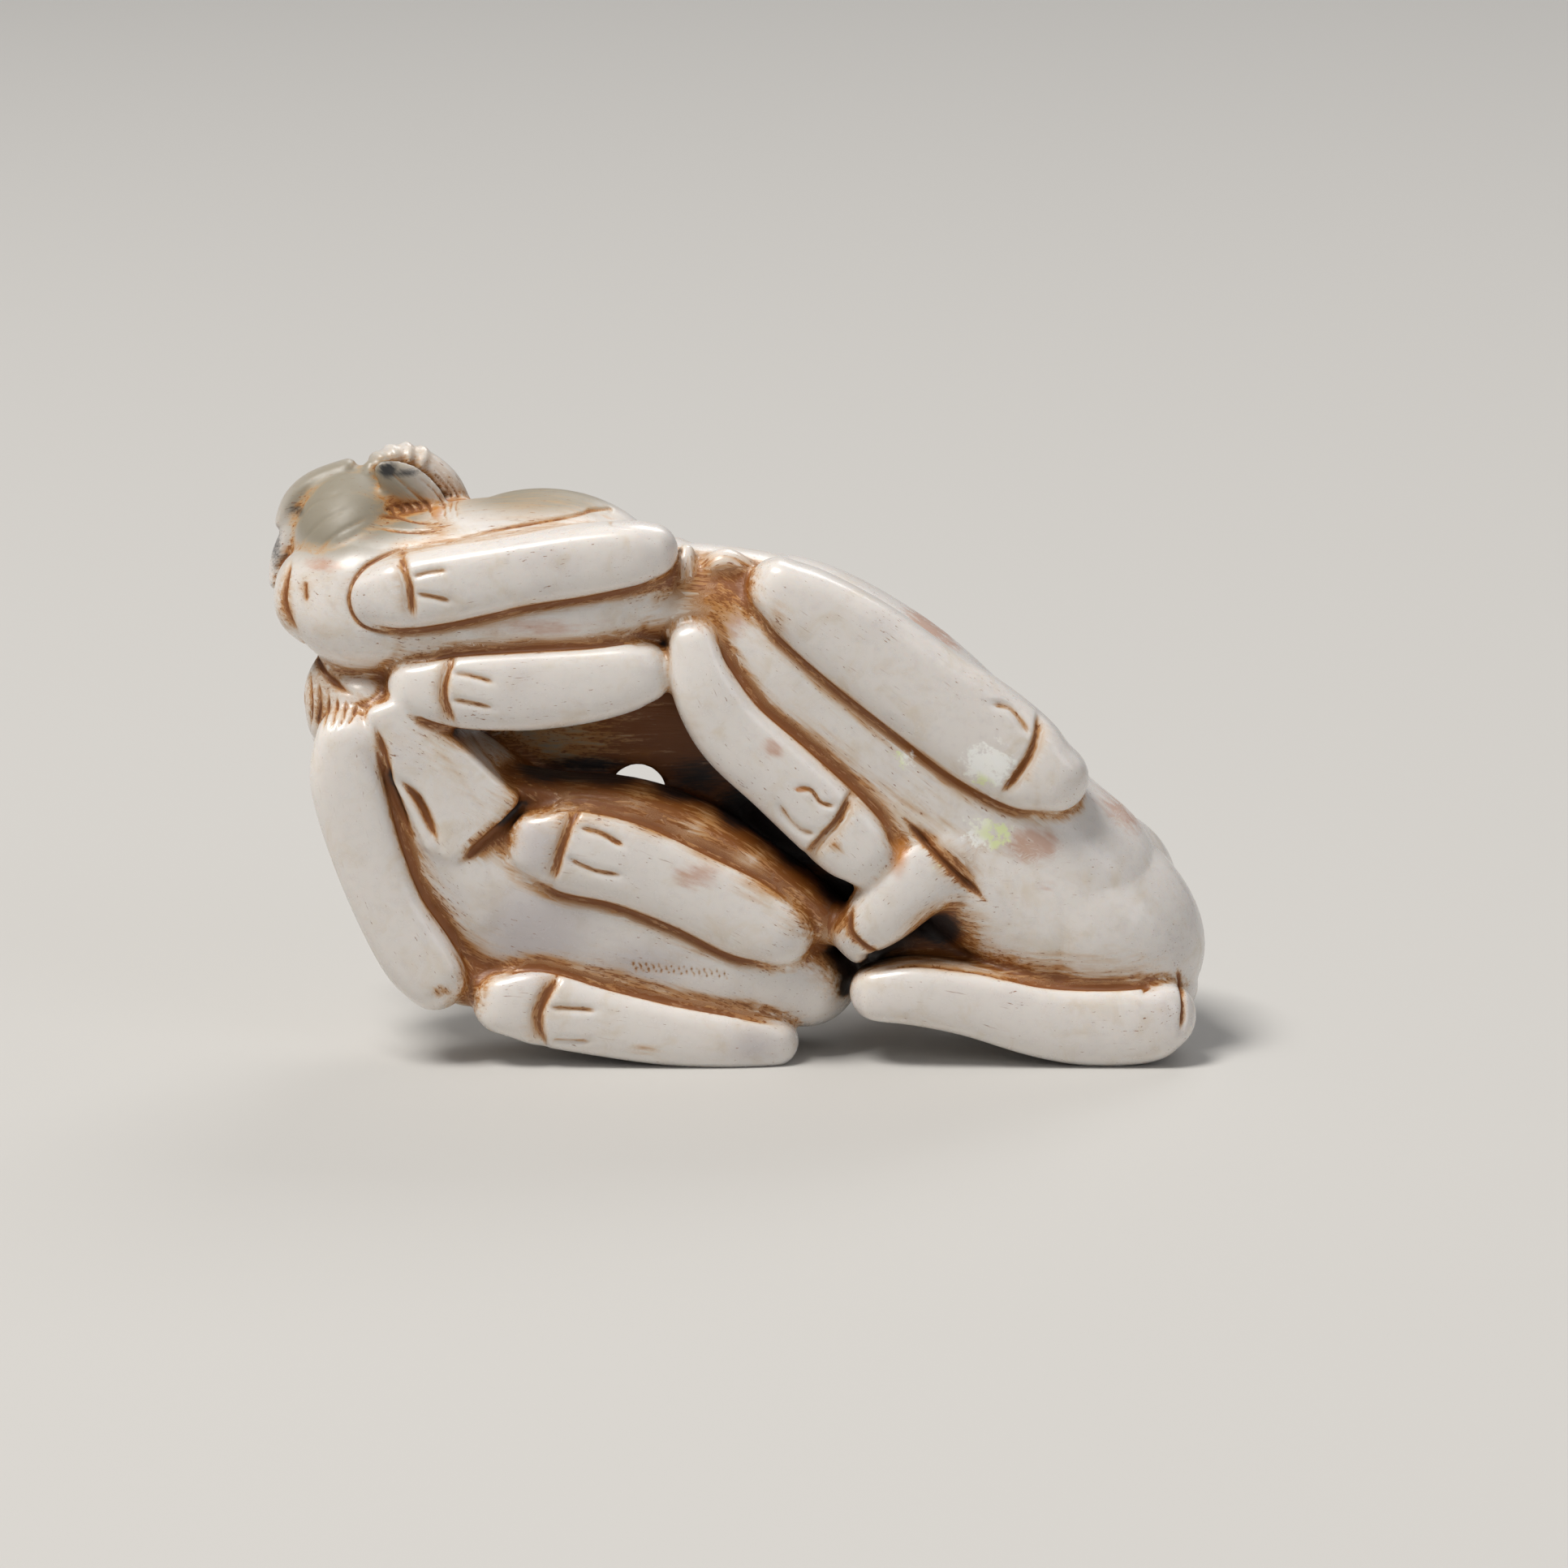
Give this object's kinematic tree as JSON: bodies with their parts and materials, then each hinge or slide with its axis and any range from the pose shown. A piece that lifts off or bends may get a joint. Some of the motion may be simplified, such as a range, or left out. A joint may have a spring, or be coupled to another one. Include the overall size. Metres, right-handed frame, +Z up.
{
  "type": "carved jade group of three recumbent rams",
  "caption": "Openwork white jade carving of a large recumbent ram with two kids, legs folded, heads turned back, lying on its flank.",
  "frame": {"origin": "middle of the group's box, on the plane of the flats it rests on", "axes": "+X along the group's length, from the kids' chests to the large ram's chest; -Y faces the folded legs and bellies; +Z up from the flank it lies on"},
  "size_m": [0.0816, 0.028, 0.0527],
  "materials": {
    "jade": null
  },
  "bodies": {
    "root": {"ram_carving": "jade"}
  },
  "joints": []
}
